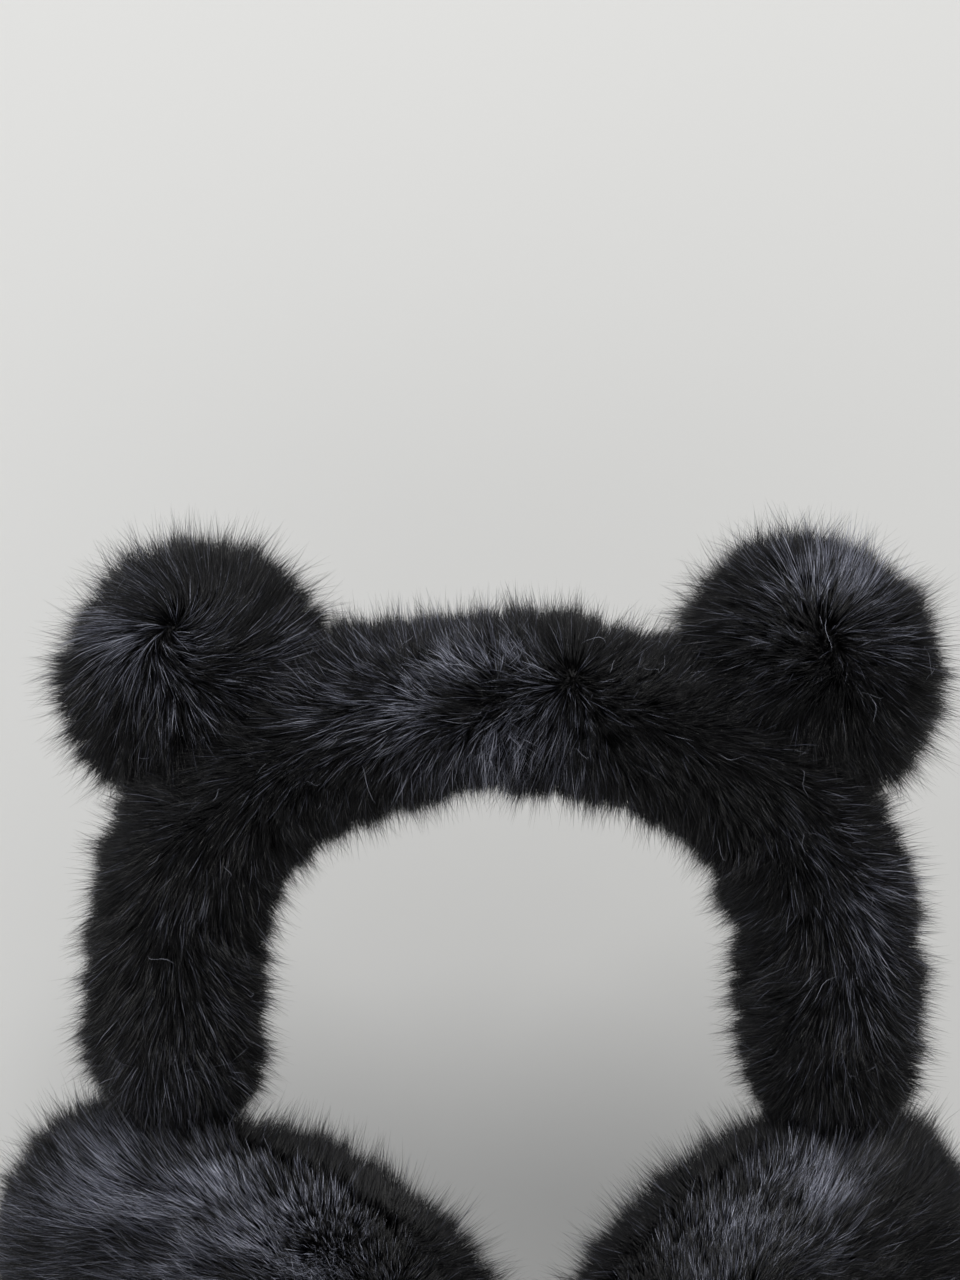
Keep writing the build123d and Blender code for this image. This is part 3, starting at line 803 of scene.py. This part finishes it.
class PadFace:
    """One face of an ear pad: a flattened dome on the pad's flat middle plane."""

    def __init__(self, label, side, face):
        mount = MOUNTS[f"{label}_ear_rest"]
        self.outer = face == "outer"
        self.power = DOME_POWER[face]
        self.pad_out = -unit(array(mount["axis"]))
        self.centre = array(mount["pos_m"]) + PAD_FLAT_DEPTH * self.pad_out
        self.up = unit(array(JOINTS[f"{label}_pad_tilt"]["pos_m"]) - self.centre)
        self.across = np.cross(self.up, self.pad_out)
        self.outwards = side * self.across
        self.out = self.pad_out if self.outer else -self.pad_out
        cover = f"pad_{face}_cover_{label}"
        self.radius = reach(cover, self.centre, self.across) - HIDE_DEPTH
        self.depth = reach(cover, self.centre, self.out) - HIDE_DEPTH

    def skin(self):
        """The dome's face, then a flat back just inside its rim."""
        share = np.sin(np.linspace(0.03, math.pi / 2, PAD_ROWS))
        rise = np.concatenate([self.depth * np.sqrt(1 - share**self.power), [RIM_LIFT]])
        share = np.concatenate([share, [0.97]])
        around = np.linspace(0, 2 * math.pi, PAD_COLUMNS, endpoint=False)
        spoke = np.cos(around)[:, None] * self.across + np.sin(around)[:, None] * self.up
        rings = self.centre + (self.radius * share)[:, None, None] * spoke + rise[:, None, None] * self.out
        flat = rings.reshape(-1, 3)
        bulge = np.repeat(rise > 0.4 * MM, PAD_COLUMNS)
        flat += self.out * (PAD_LUMP * LUMPS.value(flat) * bulge)[:, None]
        return ring_skin(rings)

    def rim(self, p):
        """How near the rim of the pad a point is, from 0 to 1."""
        flat = (p - self.centre) - ((p - self.centre) @ self.pad_out)[:, None] * self.pad_out
        return np.clip((np.linalg.norm(flat, axis=1) / self.radius - 0.78) / 0.2, 0, 1)

    def away(self, roots, normals):
        pole = self.centre + self.out * self.depth - 10 * MM * self.up
        return flatten(roots - pole, normals)

    def keep(self, p):
        """Hair grows on the whole outer dome, and thinner on the middle of the inner one."""
        middle_share = 1.0 if self.outer else 0.6
        on_dome = (p - self.centre) @ self.out > 0.8 * MM
        return on_dome * (middle_share + (1 - middle_share) * self.rim(p))


def outer_comb(face, label):
    """Hair of an outer cover is brushed upwards."""
    nap = face.up + PAD_NAP[label] * face.outwards

    def comb(roots, normals):
        lay = unit(0.45 * unit(face.away(roots, normals)) + flatten(nap, normals)) * 0.9
        return lay * (1 - 0.35 * face.rim(roots))[:, None]

    return comb


def inner_comb(face):
    """Hair of an ear-side cover swirls out from its middle."""

    def comb(roots, normals):
        away = face.away(roots, normals)
        far = np.clip(np.linalg.norm(away, axis=1, keepdims=True) / (30 * MM), 0, 1)
        swirl = np.cross(normals, unit(away)) * DRIFT.value(roots)[:, None] * 0.25
        return unit(away) * (0.45 + 0.55 * far) * (1 - 0.7 * face.rim(roots))[:, None] + swirl

    return comb


def outer_coat(face, label):
    """Shorter at the rim, and longer where the fur falls over the foot of the arm."""
    half_up = face.centre + face.depth * 0.5 * face.out
    # Spots of painted sheen on the outer cover: lighter hair colour in place of the highlight
    sheen = [
        (half_up + (high * face.up - inward * face.outwards) * MM, size * MM, strength)
        for high, inward, size, strength in PAD_PAINTED_SHEEN[label]
    ]
    foot = face.centre + (54 * face.up + 10 * face.out) * MM

    def shorten(p):
        near_foot = np.exp(-((np.linalg.norm(p - foot, axis=1) / (17 * MM)) ** 2))
        return (1 - 0.40 * face.rim(p)) * (1 - near_foot) + 1.25 * near_foot

    return Coat(
        per_mm2=5.6, length=PAD_FUR, lie=1.15, tuft=0.11, stray=0.09, sheen=sheen, sheen_paint_share=0.85,
        shorten=shorten, both_faces=False,
    )


def inner_coat():
    return Coat(per_mm2=6.4, length=0.80 * PAD_FUR, lie=1.1, tuft=0.12, stray=0.10)


def build_pad(label, side):
    attach = ride_on(f"pad_{label}")
    for name in ("outer", "inner"):
        face = PadFace(label, side, name)
        skin = face.skin()
        hide(f"pad_{name}_backing_{label}", skin, attach, f"pad_{name}_cover_{label}")
        if face.outer:
            comb, coat = outer_comb(face, label), outer_coat(face, label)
        else:
            comb, coat = inner_comb(face), inner_coat()
        grow(f"pad_{name}_fur_{label}", skin, comb, attach, coat, face.keep)


# --- stage ---------------------------------------------------------------------------------------
FLOOR_GAP = 2 * MM
FLOOR_HALF = 4
BACKDROP_GAP = 80 * MM
BACKDROP_MIDDLE_Z = 0.3
BACKDROP_HALF_WIDTH = 1.2
BACKDROP_HALF_HEIGHT = 0.9
VIEW_MIDDLE_X = -5.75 * MM
VIEW_MIDDLE_Z = 78.9 * MM
VIEW_HEIGHT = 320 * MM
CAMERA_DISTANCE = 650 * MM
UPRIGHT = (math.radians(90), 0, 0)


def plane(name, centre, half_x, half_y, rotation, material):
    corners = [(-half_x, -half_y, 0), (half_x, -half_y, 0), (half_x, half_y, 0), (-half_x, half_y, 0)]
    mesh = bpy.data.meshes.new(name)
    mesh.from_pydata(corners, [], [(0, 1, 2, 3)])
    mesh.materials.append(material)
    obj = bpy.data.objects.new(name, mesh)
    obj.location = centre
    obj.rotation_euler = rotation
    bpy.context.scene.collection.objects.link(obj)
    return obj


def paper_material(name, colour):
    """Matt pale paper."""
    material, tree, shader = new_material(name, 0.9)
    shader.inputs["Base Color"].default_value = (*colour, 1)
    shader.inputs["Specular IOR Level"].default_value = 0.1
    return material, tree, shader


def show_to_front_only(tree, shader):
    """Makes the upright sheet clear to a camera behind it."""
    geometry = tree.nodes.new("ShaderNodeNewGeometry")
    path = tree.nodes.new("ShaderNodeLightPath")
    hidden = tree.nodes.new("ShaderNodeMath")
    hidden.operation = "MULTIPLY"
    tree.links.new(geometry.outputs["Backfacing"], hidden.inputs[0])
    tree.links.new(path.outputs["Is Camera Ray"], hidden.inputs[1])
    clear = tree.nodes.new("ShaderNodeBsdfTransparent")
    mix = tree.nodes.new("ShaderNodeMixShader")
    tree.links.new(hidden.outputs[0], mix.inputs[0])
    tree.links.new(shader.outputs[0], mix.inputs[1])
    tree.links.new(clear.outputs[0], mix.inputs[2])
    tree.links.new(mix.outputs[0], tree.nodes["Material Output"].inputs["Surface"])


def build_stage():
    low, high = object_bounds()
    floor, _, _ = paper_material("pale_floor", (0.58, 0.58, 0.575))
    plane("floor", (0, 0, low.z - FLOOR_GAP), FLOOR_HALF, FLOOR_HALF, (0, 0, 0), floor)
    sheet, tree, shader = paper_material("pale_backdrop", (0.54, 0.54, 0.535))
    show_to_front_only(tree, shader)
    place = (0, high.y + BACKDROP_GAP, BACKDROP_MIDDLE_Z)
    backdrop = plane("backdrop", place, BACKDROP_HALF_WIDTH, BACKDROP_HALF_HEIGHT, UPRIGHT, sheet)
    backdrop.visible_shadow = False
    backdrop.visible_diffuse = False


def area_light(name, place, size, power, colour=(1, 1, 1)):
    """A disk light aimed at the origin."""
    data = bpy.data.lights.new(name, "AREA")
    data.shape = "DISK"
    data.size = size
    data.energy = power
    data.color = colour
    obj = bpy.data.objects.new(name, data)
    obj.location = place
    obj.rotation_euler = (-Vector(place)).to_track_quat("-Z", "Y").to_euler()
    bpy.context.scene.collection.objects.link(obj)


def build_lights():
    bpy.context.scene.view_settings.view_transform = "Standard"
    world = bpy.data.worlds.new("studio")
    world.use_nodes = True
    background = world.node_tree.nodes["Background"]
    background.inputs["Color"].default_value = (0.86, 0.87, 0.88, 1)
    background.inputs["Strength"].default_value = 0.55
    bpy.context.scene.world = world
    area_light("key", (0.10, -1.25, 1.40), 0.8, 34, (1.0, 0.99, 0.97))
    area_light("back", (-0.5, 1.0, 0.8), 0.8, 5)
    area_light("side", (-1.0, -0.5, 0.3), 0.6, 2.5, (0.95, 0.97, 1.0))


def build_camera():
    data = bpy.data.cameras.new("camera")
    data.sensor_width = 36
    data.lens = CAMERA_DISTANCE * data.sensor_width / VIEW_HEIGHT
    data.clip_start = 0.01
    camera = bpy.data.objects.new("camera", data)
    camera.location = (VIEW_MIDDLE_X, -CAMERA_DISTANCE, VIEW_MIDDLE_Z)
    camera.rotation_euler = UPRIGHT
    bpy.context.scene.collection.objects.link(camera)
    bpy.context.scene.camera = camera


dress_cad_nodes()
for label, side in SIDES.items():
    build_band(label, side)
    build_sleeve(label, side)
    build_ear(label, side)
    build_pad(label, side)
build_camera()
build_lights()
build_stage()
